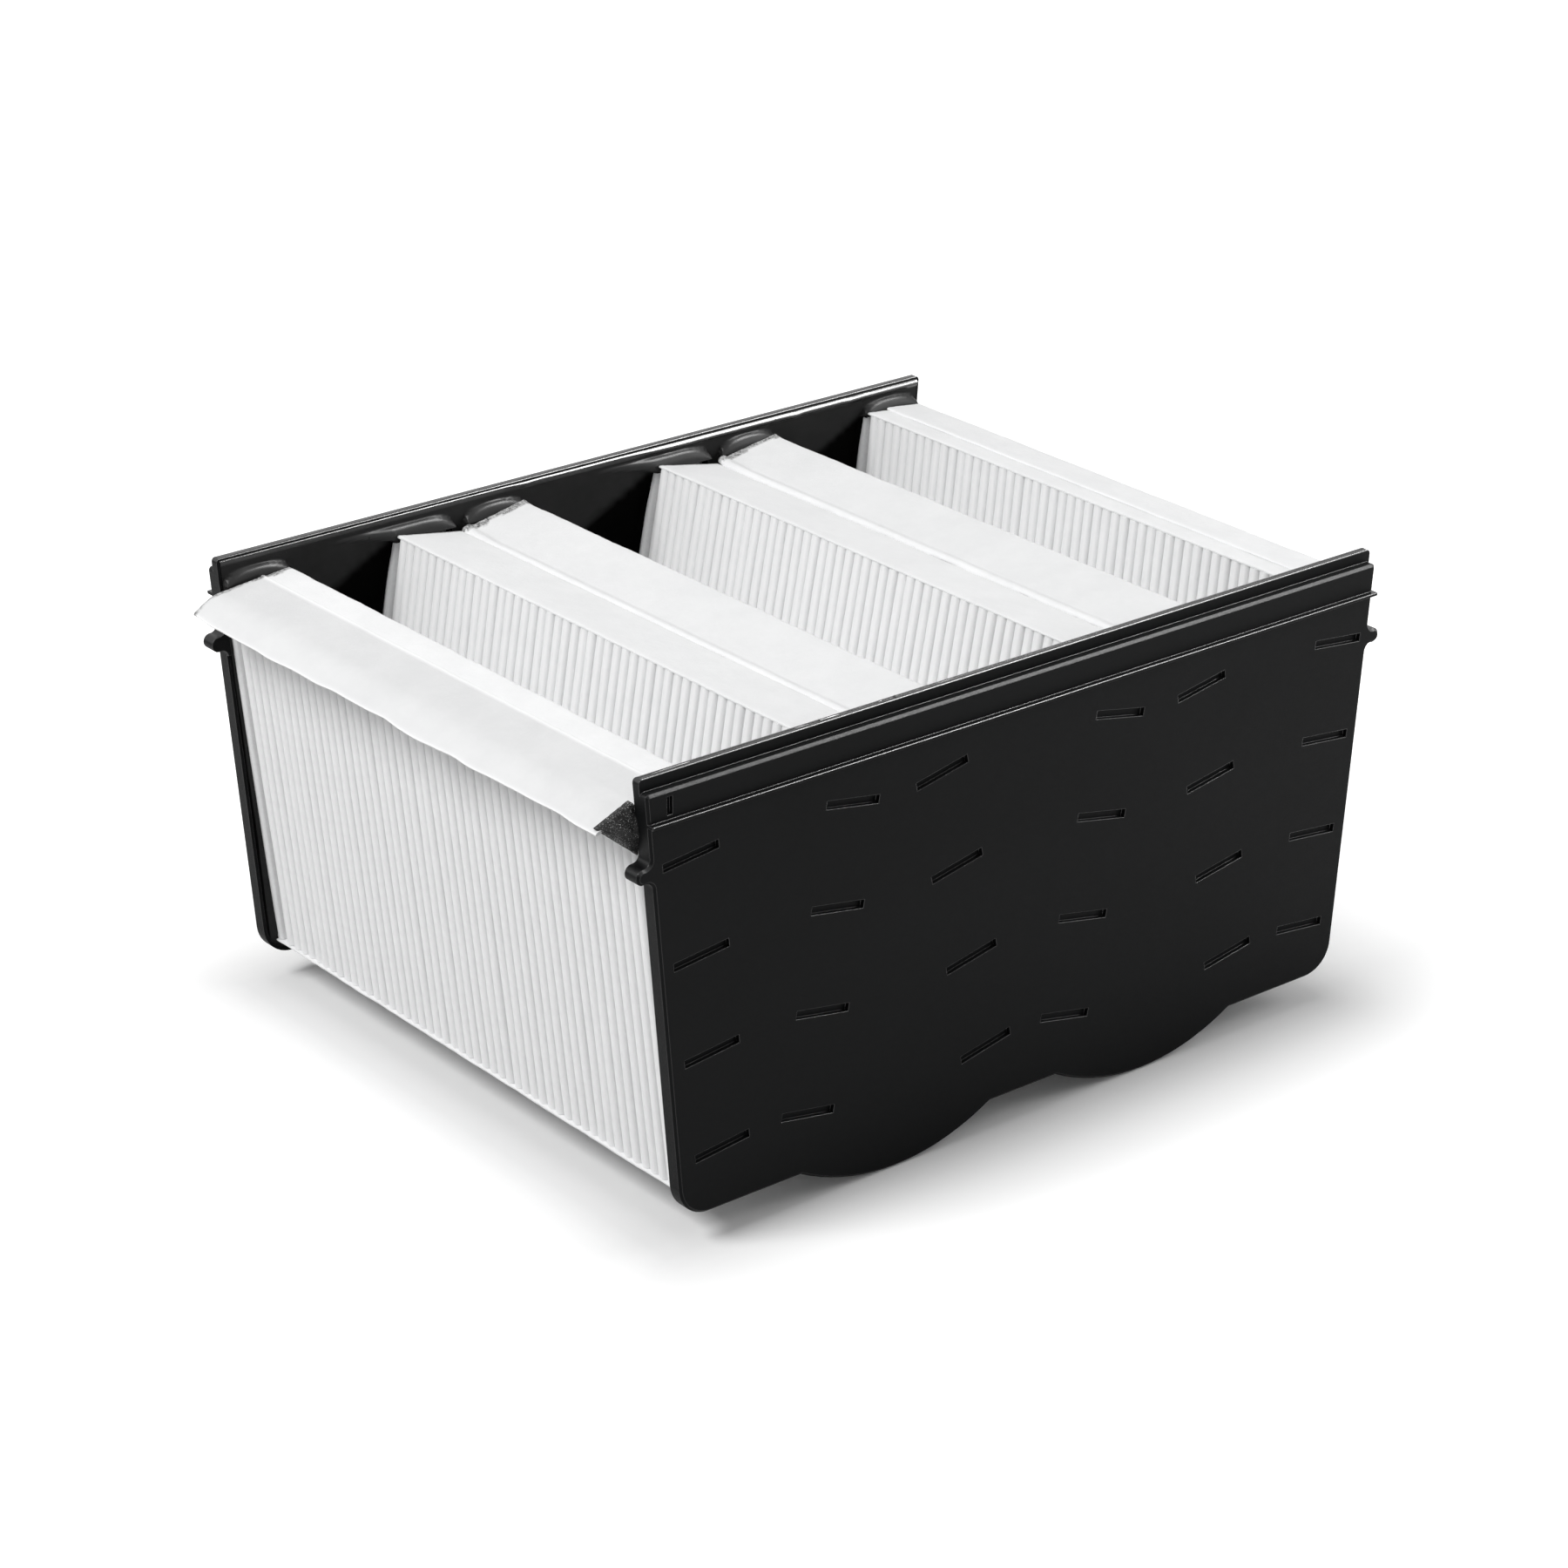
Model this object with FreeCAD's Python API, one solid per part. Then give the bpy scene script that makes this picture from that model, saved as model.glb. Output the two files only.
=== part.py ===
import FreeCAD, Part
import math
import os

from FreeCAD import Vector

# V-bank air filter cartridge. Six pleated panels stand on edge in zigzag order between two
# moulded end plates. Lengths are in millimetres. X runs along the end plates, Y along the
# panels from the front plate to the rear one, Z up. While the pieces are made, the plates are
# centred on X = 0, the front plate's outer face is at Y = 0 and the lobes' lowest line is at
# Z = 0. At the end the whole is moved so that the origin is in the middle of its footprint.

# Whole cartridge
cartridge_length = 285.0        # over the outer faces of the two end plates
cartridge_height = 190.0        # from the lobes' lowest line to the top of the lip

# End plate, outline seen from the front
plate_top_half_width = 180.4    # at the top of the lip
side_taper_deg = 4.7            # each side leans in towards the bottom
bottom_corner_radius = 13.5
lobe_depth = 12.0               # how far a lobe hangs below the straight bottom edge
lobe_inner_x = 17.0             # where a lobe starts, from the middle
lobe_outer_x = 110.0            # where it ends
ear_drop = 35.5                 # from the top of the lip down to the middle of an ear
ear_reach = 6.7                 # how far an ear stands out from the side
ear_tip_radius = 3.0
ear_root_radius = 3.0

# End plate, section
rim_depth = 6.3                 # of the tray, over the outer face
shoulder_depth = 7.6            # of the part from the ears up
face_wall = 2.4
side_wall = 1.6
outer_edge_chamfer = 1.0
lip_height = 5.0
lip_thickness = 3.6
lip_corner_radius = 2.0         # at the two upper ends of the lip
lip_edge_radius = 0.8           # along the lip's two upper edges
block_height = 11.2             # flat band below the lip
block_corner_radius = 1.6       # at the two upper ends of the block
flange_reach = 2.5              # the rib under the block stands out this far
flange_thickness = 1.4
flange_edge_radius = 0.5        # along the rib's two outer edges
widest_fillet = 0.45            # share of a wall that a fillet along its edge may take

# Pockets in the plate's face, four in a column on the line of each panel
pocket_rows = 4
pocket_length = 25.0
pocket_width = 3.4
pocket_depth = 2.0
pocket_pitch = 40.0
first_pocket_drop = 33.0        # from the top of the lip to the middle of the first pocket
pocket_wall = 1.4               # of the boss behind each pocket
notch_drop = 7.5                # a short upright notch near one end of the block
notch_length = 7.0
notch_width = 2.4
notch_depth = 1.6
notch_from_edge = 9.0

# Pleated packs
pack_thickness = 29.0
pack_top_drop = 12.0            # from the top of the lip to the middle of a pack's upper end
pack_foot_rise = 8.0            # from the plate's straight bottom edge to an upright pack
head_side_gap = 0.31            # between an outer panel's upper end and the side wall
foot_side_gap = 4.72            # the same at its lower end
middle_mouth = 68.2             # between the two inner panels, at their upper ends
middle_joint_gap = 5.8          # between the same two at their lower ends
head_joint_gap = 5.6            # between two panels that meet at their upper ends
foot_joint_gap = 6.8            # between an outer panel and the next at their lower ends
pleat_count = 51                # folds on one face of a pack
sheet_thickness = 0.6

# Edge strips, flap and seams
strip_thickness = 1.0
top_strip_setback = 11.0        # from the plate's outer face to the end of an upper strip
flap_thickness = 1.2
flap_lap = 15.5                 # how far the flap lies on panel 1, from its outer edge
flap_bend_out = 8.5             # from the panel's outer edge to the middle of the flap's bend
flap_tip_length = 10.5          # from there to the flap's edge
flap_droop_deg = 28.0
flap_bend_radius = 18.0
overlap_strip_width = 19.0
overlap_overhang = 1.0
seam_bead_height = 7.0
seam_bead_depth = 2.0           # how far a bead lies inside the packs' ends

# Sealing compound
potting_level = 5.9             # depth of the compound over the plate's outer face
pack_seat = 4.4                 # depth of the packs' ends over the same face
ramp_rise = 4.5                 # the compound climbs the plate above each panel
squeeze_out_lap = 4.0           # the lump under the flap starts this far in on panel 1

# Fits
glue_gap = 0.05                 # between glued pieces
seat_gap = 0.1                  # round a pack's end in its seat

side_lean = math.tan(math.radians(side_taper_deg))
straight_bottom_z = lobe_depth
ledge_z = cartridge_height - lip_height
block_bottom_z = ledge_z - block_height
ear_z = cartridge_height - ear_drop
lip_recess = shoulder_depth - lip_thickness
pack_top_z = cartridge_height - pack_top_drop
pack_height = pack_top_z - straight_bottom_z - pack_foot_rise
pack_length = cartridge_length - 2 * pack_seat
half_thickness = pack_thickness / 2
pocket_bottom = pocket_depth + pocket_wall


def side_x(z):
    """Half width of the plate's outline at height z."""
    return plate_top_half_width - (cartridge_height - z) * side_lean


def arc(start, middle, end):
    return Part.Arc(start, middle, end).toShape()


def line(start, end):
    return Part.LineSegment(start, end).toShape()


def at(x, z, y=0.0):
    return Vector(x, y, z)


def prism(points, y_start, y_end):
    """Solid with a straight-sided outline in the XZ plane, from y_start to y_end."""
    corners = [at(x, z, y_start) for x, z in points]
    face = Part.Face(Part.makePolygon(corners + corners[:1]))
    return face.extrude(Vector(0, y_end - y_start, 0))


def mirrored(shape):
    return shape.mirror(Vector(0, 0, 0), Vector(1, 0, 0))


# End plate outline

def ear_edges(inset):
    """Right ear, from its lower root to its upper root: a round tip between two root fillets.

    Along and out are measured from the ear's middle on the side line, up it and off it.
    """
    taper = math.radians(side_taper_deg)
    base = at(side_x(ear_z), ear_z)
    up = at(math.sin(taper), math.cos(taper))
    out = at(math.cos(taper), -math.sin(taper))

    def spot(along, off):
        return base + up * along + out * (off - inset)

    tip_off = ear_reach - ear_tip_radius
    root_off = ear_root_radius
    span = ear_tip_radius + ear_root_radius
    root_along = math.sqrt(span ** 2 - (tip_off - root_off) ** 2)
    share = ear_tip_radius / span
    join_along = root_along * share
    join_off = tip_off + (root_off - tip_off) * share
    turn = math.atan2(root_along, root_off - tip_off)
    edges = []
    for side in (-1, 1):
        middle_along = root_along - ear_root_radius * math.sin(turn / 2)
        middle_off = root_off - ear_root_radius * math.cos(turn / 2)
        root = spot(side * root_along, 0)
        middle = spot(side * middle_along, middle_off)
        join = spot(side * join_along, join_off)
        edges.append(arc(root, middle, join))
    tip = arc(spot(-join_along, join_off), spot(0, ear_reach), spot(join_along, join_off))
    return [edges[0], tip, edges[1]], spot(-root_along, 0), spot(root_along, 0)


def plate_outline(inset=0.0, top_z=ledge_z, with_ears=True):
    """Face in the XZ plane inside the plate's outline, moved in by inset."""
    taper = math.radians(side_taper_deg)
    side_inset = inset / math.cos(taper)
    bottom_z = straight_bottom_z + inset
    radius = bottom_corner_radius - inset
    turn = math.pi / 2 - taper
    reach = radius * math.tan(turn / 2)
    corner = at(side_x(bottom_z) - side_inset, bottom_z)
    on_side = corner + at(math.sin(taper), math.cos(taper)) * reach
    on_bottom = corner - at(reach, 0)
    centre = on_bottom + at(0, radius)
    middle = centre + at(math.sin(turn / 2), -math.cos(turn / 2)) * radius
    top = at(side_x(top_z) - side_inset, top_z)

    half_chord = (lobe_outer_x - lobe_inner_x) / 2
    lobe_radius = (half_chord ** 2 + lobe_depth ** 2) / (2 * lobe_depth)
    lobe_x = (lobe_outer_x + lobe_inner_x) / 2
    lobe_inset_radius = lobe_radius - inset
    lobe_half = math.sqrt(lobe_inset_radius ** 2 - (lobe_radius - lobe_depth + inset) ** 2)

    right = [
        line(at(0, bottom_z), at(lobe_x - lobe_half, bottom_z)),
        arc(at(lobe_x - lobe_half, bottom_z), at(lobe_x, inset), at(lobe_x + lobe_half, bottom_z)),
        line(at(lobe_x + lobe_half, bottom_z), on_bottom),
        arc(on_bottom, middle, on_side),
    ]
    if with_ears:
        ear, ear_low, ear_high = ear_edges(inset)
        right += [line(on_side, ear_low)] + ear + [line(ear_high, top)]
    else:
        right += [line(on_side, top)]
    right += [line(top, at(0, top_z))]
    edges = right + [mirrored(edge) for edge in right]
    wire = Part.Wire(Part.__sortEdges__(edges))
    return Part.Face(wire)


# Panels. A place on a panel is given by across, measured along its thickness with plus to the
# right, and up, measured along the panel from the middle of the pack's lower end.

def panel_middles():
    """X of the middle of the upper and of the lower end, for an outer, second and inner panel."""
    foot_z = straight_bottom_z + pack_foot_rise
    outer_head = side_x(pack_top_z) - side_wall - head_side_gap - half_thickness
    outer_foot = side_x(foot_z) - side_wall - foot_side_gap - half_thickness
    inner_head = middle_mouth / 2 + half_thickness
    inner_foot = middle_joint_gap / 2 + half_thickness
    second_head = inner_head + head_joint_gap + pack_thickness
    second_foot = outer_foot - foot_joint_gap - pack_thickness
    return (outer_head, outer_foot), (second_head, second_foot), (inner_head, inner_foot)


def panel_frame(number):
    """Foot, direction up and direction across of a panel, numbered 1 to 6 from the left."""
    side = -1 if number <= 3 else 1
    head_x, foot_x = [side * x for x in panel_middles()[min(number, 7 - number) - 1]]
    lean = math.asin((head_x - foot_x) / pack_height)
    up = at(math.sin(lean), math.cos(lean))
    across = at(math.cos(lean), -math.sin(lean))
    head = at(head_x, pack_top_z)
    return head - up * pack_height, up, across


def on_panel(number, across, up):
    foot, up_axis, across_axis = panel_frame(number)
    spot = foot + across_axis * across + up_axis * up
    return spot.x, spot.z


def panel_box(number, across_low, across_high, up_low, up_high, y_start, y_end):
    points = [
        on_panel(number, across_low, up_low),
        on_panel(number, across_high, up_low),
        on_panel(number, across_high, up_high),
        on_panel(number, across_low, up_high),
    ]
    return prism(points, y_start, y_end)


def across_at(number, x, up):
    """Across value of the spot with the given X at the given height on the panel."""
    foot, up_axis, across_axis = panel_frame(number)
    return (x - foot.x - up_axis.x * up) / across_axis.x


# End plates

def pocket_places():
    """Panel and height on it of each pocket's middle."""
    for number in range(1, 7):
        foot, up_axis, across_axis = panel_frame(number)
        for row in range(pocket_rows):
            z = cartridge_height - first_pocket_drop - row * pocket_pitch
            yield number, (z - foot.z) / up_axis.z


def pocket_block(number, up, margin, y_start, y_end):
    half_length = pocket_length / 2 + margin
    half_width = pocket_width / 2 + margin
    return panel_box(number, -half_length, half_length, up - half_width, up + half_width,
                     y_start, y_end)


def bosses():
    return [pocket_block(number, up, pocket_wall, face_wall / 2, pocket_bottom)
            for number, up in pocket_places()]


def tray_space(y_end):
    """Room inside the tray, from the face wall to y_end."""
    face = plate_outline(side_wall, ledge_z - face_wall, with_ears=False)
    face.translate(Vector(0, face_wall, 0))
    return face.extrude(Vector(0, y_end - face_wall, 0))


def band(z_low, z_high, y_start, y_end):
    """Bar across the plate between two heights, as wide as the plate's outline there."""
    points = [
        (-side_x(z_low), z_low),
        (side_x(z_low), z_low),
        (side_x(z_high), z_high),
        (-side_x(z_high), z_high),
    ]
    return prism(points, y_start, y_end)


def rounded_upper_corners(shape, radius, z):
    """Round the edges along Y that end the shape's upper face at height z."""
    corners = [edge for edge in shape.Edges
               if abs(edge.BoundBox.ZMin - z) < 0.01 and abs(edge.BoundBox.ZMax - z) < 0.01
               and edge.BoundBox.XLength < 0.01]
    return shape.makeFillet(radius, corners)


def long_edges(shape, y, z):
    """Edges along X of a shape at the given depth and height."""
    return [edge for edge in shape.Edges
            if edge.Length > plate_top_half_width
            and abs(edge.CenterOfMass.y - y) < 0.01 and abs(edge.CenterOfMass.z - z) < 0.01]


def lip_bar():
    """Lip along the plate's upper edge, rounded at its corners and along its top."""
    root_z = ledge_z - face_wall
    outline = band(root_z, cartridge_height, lip_recess, shoulder_depth)
    outline = rounded_upper_corners(outline, lip_corner_radius, cartridge_height)
    bar = Part.makeBox(4 * plate_top_half_width, lip_thickness, cartridge_height - root_z,
                       at(-2 * plate_top_half_width, root_z, lip_recess))
    radius = min(lip_edge_radius, widest_fillet * lip_thickness)
    edges = (long_edges(bar, lip_recess, cartridge_height)
             + long_edges(bar, shoulder_depth, cartridge_height))
    return outline.common(bar.makeFillet(radius, edges))


def flange_bar():
    """Rib that stands out under the block, with rounded outer edges."""
    flange = band(block_bottom_z - flange_thickness, block_bottom_z, -flange_reach, face_wall / 2)
    radius = min(flange_edge_radius, widest_fillet * flange_thickness)
    edges = (long_edges(flange, -flange_reach, block_bottom_z)
             + long_edges(flange, -flange_reach, block_bottom_z - flange_thickness))
    return flange.makeFillet(radius, edges)


def end_plate():
    body = plate_outline().extrude(Vector(0, rim_depth, 0))
    shoulder_bottom = ear_z - ear_tip_radius - ear_root_radius
    shoulder = plate_outline().extrude(Vector(0, shoulder_depth, 0)).common(
        Part.makeBox(4 * plate_top_half_width, shoulder_depth, cartridge_height - shoulder_bottom,
                     at(-2 * plate_top_half_width, shoulder_bottom)))
    body = body.fuse(shoulder).removeSplitter()
    body = rounded_upper_corners(body, block_corner_radius, ledge_z)
    front_edges = [edge for edge in body.Edges
                   if edge.BoundBox.YMax < 0.01 and edge.BoundBox.YMin > -0.01]
    body = body.makeChamfer(outer_edge_chamfer, front_edges)
    body = body.fuse([lip_bar(), flange_bar()])
    body = body.cut(tray_space(shoulder_depth))
    body = body.fuse(bosses())
    cuts = [pocket_block(number, up, 0.0, -1.0, pocket_depth) for number, up in pocket_places()]
    notch_x = side_x(ledge_z) - notch_from_edge
    notch_top = cartridge_height - notch_drop
    cuts.append(prism([
        (-notch_x, notch_top - notch_length),
        (-notch_x + notch_width, notch_top - notch_length),
        (-notch_x + notch_width, notch_top),
        (-notch_x, notch_top),
    ], -1.0, notch_depth))
    return body.cut(cuts).removeSplitter()


def turned_round(shape):
    """The same piece at the other end, turned half a turn about the upright through the middle."""
    copy = shape.copy()
    copy.rotate(Vector(0, cartridge_length / 2, 0), Vector(0, 0, 1), 180)
    return copy


# Pleated packs

def sheet_outline(corners, thickness):
    """Closed outline of a folded sheet whose middle line runs through the corners.

    On the outside of a fold the sheet goes round flat, on the inside its faces meet.
    """
    legs = [(b - a).normalize() for a, b in zip(corners, corners[1:])]
    normals = [Vector(-leg.y, leg.x, 0) for leg in legs]
    half = thickness / 2
    sides = []
    for sign in (1, -1):
        side = [corners[0] + normals[0] * half * sign]
        for index in range(1, len(corners) - 1):
            before = normals[index - 1] * sign
            after = normals[index] * sign
            if (after - before).dot(legs[index - 1]) < 0:
                middle = (before + after).normalize()
                side.append(corners[index] + middle * (half / middle.dot(before)))
            else:
                side.append(corners[index] + before * half)
                side.append(corners[index] + after * half)
        side.append(corners[-1] + normals[-1] * half * sign)
        sides.append(side)
    return sides[0] + sides[1][::-1]


def pleat_pack(number):
    """One sheet folded to and fro, with a flat leaf against each end plate."""
    half_depth = (pack_thickness - sheet_thickness) / 2
    steps = 2 * pleat_count - 1
    step = (pack_length - sheet_thickness) / steps
    start = pack_seat + sheet_thickness / 2
    corners = []
    for index in range(steps + 3):
        face = half_depth if index % 2 else -half_depth
        along = min(max(index - 1, 0), steps) * step
        corners.append(Vector(face, start + along, 0))
    outline = sheet_outline(corners, sheet_thickness)
    sheet = Part.Face(Part.makePolygon(outline + outline[:1])).extrude(Vector(0, 0, pack_height))
    foot, up_axis, across_axis = panel_frame(number)
    sheet.rotate(Vector(0, 0, 0), Vector(0, 1, 0), math.degrees(math.asin(up_axis.x)))
    sheet.translate(foot)
    return sheet


# Strips, seams and flap

def seam_x(left_number, up):
    """X of the joint between a panel and the next one to its right, at a height on the panels."""
    left = on_panel(left_number, half_thickness, up)
    right = on_panel(left_number + 1, -half_thickness, up)
    return (left[0] + right[0]) / 2


def edge_strip(number, up_low, up_high, meets, y_start, y_end):
    """Strip on a panel's end. On the side where it meets the next panel it reaches the joint."""
    low = -half_thickness
    high = half_thickness
    if meets == "right":
        ends = [across_at(number, seam_x(number, up) - glue_gap, up) for up in (up_low, up_high)]
        points = [
            on_panel(number, low, up_low),
            on_panel(number, ends[0], up_low),
            on_panel(number, ends[1], up_high),
            on_panel(number, low, up_high),
        ]
    elif meets == "left":
        ends = [across_at(number, seam_x(number - 1, up) + glue_gap, up) for up in (up_low, up_high)]
        points = [
            on_panel(number, ends[0], up_low),
            on_panel(number, high, up_low),
            on_panel(number, high, up_high),
            on_panel(number, ends[1], up_high),
        ]
    else:
        return panel_box(number, low, high, up_low, up_high, y_start, y_end)
    return prism(points, y_start, y_end)


def top_strip(number):
    meets = {2: "right", 3: "left", 4: "right", 5: "left"}.get(number)
    low = pack_height + glue_gap
    return edge_strip(number, low, low + strip_thickness, meets,
                      top_strip_setback, cartridge_length - top_strip_setback)


def bottom_strip(number):
    meets = "right" if number % 2 else "left"
    high = -glue_gap
    return edge_strip(number, high - strip_thickness, high, meets,
                      potting_level + glue_gap, cartridge_length - potting_level - glue_gap)


def seam_bead(left_number, up_low, up_high):
    """Bead that fills the joint between two panels over a short height."""
    side = half_thickness + glue_gap
    points = [
        on_panel(left_number, side, up_low),
        on_panel(left_number + 1, -side, up_low),
        on_panel(left_number + 1, -side, up_high),
        on_panel(left_number, side, up_high),
    ]
    return prism(points, potting_level + glue_gap, cartridge_length - potting_level - glue_gap)


def flap_section():
    """Lower and upper corners of the flap's section: on the panel, at the bend, at the edge."""
    foot, up_axis, across_axis = panel_frame(1)
    low = pack_height + strip_thickness + 2 * glue_gap
    edge = foot - across_axis * half_thickness + up_axis * low
    bend = edge - across_axis * flap_bend_out
    droop = math.radians(flap_droop_deg)
    hang = across_axis * -math.cos(droop) - up_axis * math.sin(droop)
    root = edge + across_axis * flap_lap
    tip = bend + hang * flap_tip_length
    hang_normal = across_axis * -math.sin(droop) + up_axis * math.cos(droop)
    root_top = root + up_axis * flap_thickness
    bend_top = bend + (up_axis + hang_normal) * (flap_thickness / (1 + math.cos(droop)))
    tip_top = tip + hang_normal * flap_thickness
    return (root, bend, tip), (root_top, bend_top, tip_top)


def edge_flap():
    """Strip laid on panel 1 and bent down where it leaves the panel's outer edge."""
    lower, upper = flap_section()
    points = [(spot.x, spot.z) for spot in lower + upper[::-1]]
    bend, bend_top = lower[1], upper[1]
    flap = prism(points, top_strip_setback, cartridge_length - top_strip_setback)
    for spot, radius in ((bend, flap_bend_radius), (bend_top, flap_bend_radius + flap_thickness)):
        bend_edges = [long_edge for long_edge in flap.Edges
                      if long_edge.Length > cartridge_length / 2
                      and abs(long_edge.CenterOfMass.x - spot.x) < 0.01
                      and abs(long_edge.CenterOfMass.z - spot.z) < 0.01]
        flap = flap.makeFillet(radius, bend_edges)
    return flap


def overlap_strip():
    """Second strip on panel 6, from its outer edge inwards."""
    low = pack_height + strip_thickness + 2 * glue_gap
    high = half_thickness + overlap_overhang
    return panel_box(6, high - overlap_strip_width, high, low, low + strip_thickness,
                     top_strip_setback, cartridge_length - top_strip_setback)


# Sealing compound

def ramp(number):
    """Wedge of compound on a panel's upper end, from the strip's end up the plate."""
    foot, up_axis, across_axis = panel_frame(number)
    corner = foot - across_axis * half_thickness + up_axis * (pack_height + glue_gap)
    behind_lip = lip_recess + lip_thickness / 2
    outline = [
        (behind_lip, 0.0),
        (top_strip_setback - glue_gap, 0.0),
        (top_strip_setback - glue_gap, strip_thickness),
        (shoulder_depth, strip_thickness + ramp_rise),
        (behind_lip, strip_thickness + ramp_rise),
    ]
    corners = [corner + up_axis * rise + Vector(0, y, 0) for y, rise in outline]
    face = Part.Face(Part.makePolygon(corners + corners[:1]))
    return face.extrude(across_axis * pack_thickness)


def squeeze_out():
    """Lump of compound in front of the flap's end, from its edge down to the ear."""
    low = pack_height + glue_gap
    outer_face = -half_thickness - seat_gap
    bend, tip = flap_section()[0][1:]
    ear_high = ear_edges(0.0)[2]
    foot, up_axis = panel_frame(1)[:2]
    face_up = (ear_high.z - foot.z) / up_axis.z
    points = [
        on_panel(1, squeeze_out_lap - half_thickness, low),
        on_panel(1, squeeze_out_lap - half_thickness, low + strip_thickness),
        on_panel(1, outer_face, low + strip_thickness),
        (bend.x, bend.z),
        (tip.x, tip.z),
        (-ear_high.x, ear_high.z),
        on_panel(1, outer_face, face_up),
        on_panel(1, outer_face, low),
    ]
    return prism(points, shoulder_depth, top_strip_setback - glue_gap)


def potting(plate, extras):
    """Compound poured round the packs' ends, with a seat for each and the plate's own form."""
    bed = tray_space(potting_level)
    bed = bed.fuse([ramp(number) for number in range(1, 7)] + extras)
    side = half_thickness + seat_gap
    seats = [panel_box(number, -side, side, -seat_gap, pack_height + glue_gap,
                       pack_seat, cartridge_length / 2) for number in range(1, 7)]
    return bed.cut(seats + [plate]).removeSplitter()


def build():
    """All pieces by node name."""
    plate = end_plate()
    pieces = {
        "front_end_plate": plate,
        "rear_end_plate": turned_round(plate),
        "front_potting": potting(plate, [squeeze_out()]),
        "rear_potting": turned_round(potting(plate, [])),
    }
    for number in range(1, 7):
        pieces["pleat_pack_%d" % number] = pleat_pack(number)
        pieces["top_strip_%d" % number] = top_strip(number)
        pieces["bottom_strip_%d" % number] = bottom_strip(number)
    for index, left_number in enumerate((2, 4), 1):
        bead = seam_bead(left_number, pack_height - seam_bead_depth - seam_bead_height,
                         pack_height - seam_bead_depth)
        pieces["top_seam_%d" % index] = bead.cut(
            [pieces["top_strip_%d" % number] for number in (left_number, left_number + 1)])
    for index, left_number in enumerate((1, 3, 5), 1):
        bead = seam_bead(left_number, seam_bead_depth, seam_bead_depth + seam_bead_height)
        pieces["bottom_seam_%d" % index] = bead.cut(
            [pieces["bottom_strip_%d" % number] for number in (left_number, left_number + 1)])
    pieces["edge_flap"] = edge_flap()
    pieces["overlap_strip"] = overlap_strip()
    return pieces


def main():
    pieces = build()
    bounds = Part.makeCompound(list(pieces.values())).optimalBoundingBox()
    to_origin = Vector(-bounds.Center.x, -bounds.Center.y, -bounds.ZMin)
    os.makedirs("parts", exist_ok=True)
    for name, shape in pieces.items():
        shape.translate(to_origin)
        shape.exportStep("parts/%s.step" % name)
        print("%-18s solids %d valid %s volume %.1f cm3" % (
            name, len(shape.Solids), shape.isValid(), shape.Volume / 1000))
    print("size %.1f x %.1f x %.1f, moved by %.2f %.2f %.2f" % (
        bounds.XLength, bounds.YLength, bounds.ZLength, to_origin.x, to_origin.y, to_origin.z))


main()
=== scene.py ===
import math

import bpy
import numpy as np
from mathutils import Matrix, Vector

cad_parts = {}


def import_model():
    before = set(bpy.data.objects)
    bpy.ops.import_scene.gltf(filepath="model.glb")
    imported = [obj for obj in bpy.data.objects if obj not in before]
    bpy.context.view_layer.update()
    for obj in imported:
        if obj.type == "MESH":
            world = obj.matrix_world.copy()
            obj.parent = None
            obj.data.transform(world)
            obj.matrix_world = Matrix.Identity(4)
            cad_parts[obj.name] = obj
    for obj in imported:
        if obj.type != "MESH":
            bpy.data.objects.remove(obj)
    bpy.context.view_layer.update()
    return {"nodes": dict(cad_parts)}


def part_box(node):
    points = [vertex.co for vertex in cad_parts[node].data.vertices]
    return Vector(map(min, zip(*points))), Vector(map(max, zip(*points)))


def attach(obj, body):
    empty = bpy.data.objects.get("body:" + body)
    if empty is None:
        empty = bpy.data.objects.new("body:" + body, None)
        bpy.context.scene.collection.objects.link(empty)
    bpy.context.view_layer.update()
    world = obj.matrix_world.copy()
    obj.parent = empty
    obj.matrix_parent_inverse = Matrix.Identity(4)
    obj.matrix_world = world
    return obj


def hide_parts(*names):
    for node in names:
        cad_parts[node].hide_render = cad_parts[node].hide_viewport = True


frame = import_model()

# The finish of a pleated filter cartridge: six white pleated packs on edge between two black
# moulded end plates. Lengths are in metres. A place on a pack is given by across, measured along
# its thickness with plus to the right, and up, measured from the middle of its lower end.

mm = 0.001

# Packs
pack_thickness = 29.0 * mm
pack_height = 158.0 * mm
sheet_thickness = 0.6 * mm
pleat_count = 51
fold_half_width = 2.3 * mm      # of the sheet's middle line at a fold
fold_depth = 0.75 * mm
crest_sharpness = 6             # narrows the painted highlight line along a fold's crest
fold_crest = 0.38               # how far the crest lies towards the front, as a share
end_leaf_share = 0.98           # how far the two end leaves reach across the pack
pack_levels = 22
end_gap = 2.0 * mm              # extra gap beside the last leaf at a pack's rear end
end_gap_fade = 14.0             # tips over which the others close up for it

# End plates
side_taper = math.radians(4.7)
top_half_width = 180.4 * mm
plate_height = 190.0 * mm
lobe_depth = 12.0 * mm
lobe_inner_x = 17.0 * mm
lobe_outer_x = 110.0 * mm
bottom_corner_radius = 13.5 * mm
side_wall = 1.6 * mm
shoulder_depth = 7.6 * mm
tray_top = 182.6 * mm
boss_depth = 3.45 * mm
flange_reach = 2.5 * mm         # the frame's box of a plate ends at its flange

# Strips
strip_thickness = 1.0 * mm
flap_thickness = 1.2 * mm
flap_lap = 15.5 * mm
flap_bend_out = 8.5 * mm
flap_tip_length = 10.5 * mm
flap_droop = math.radians(28.0)
flap_bend_radius = 18.0 * mm
overlap_width = 19.0 * mm
overlap_overhang = 1.0 * mm
glue_gap = 0.05 * mm
strip_edge_radius = 0.35 * mm
soak_fade = 0.6 * mm            # over which clean felt goes over to soaked felt
first_lower_overhang = 0.8 * mm # of the first lower strip's left edge

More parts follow.
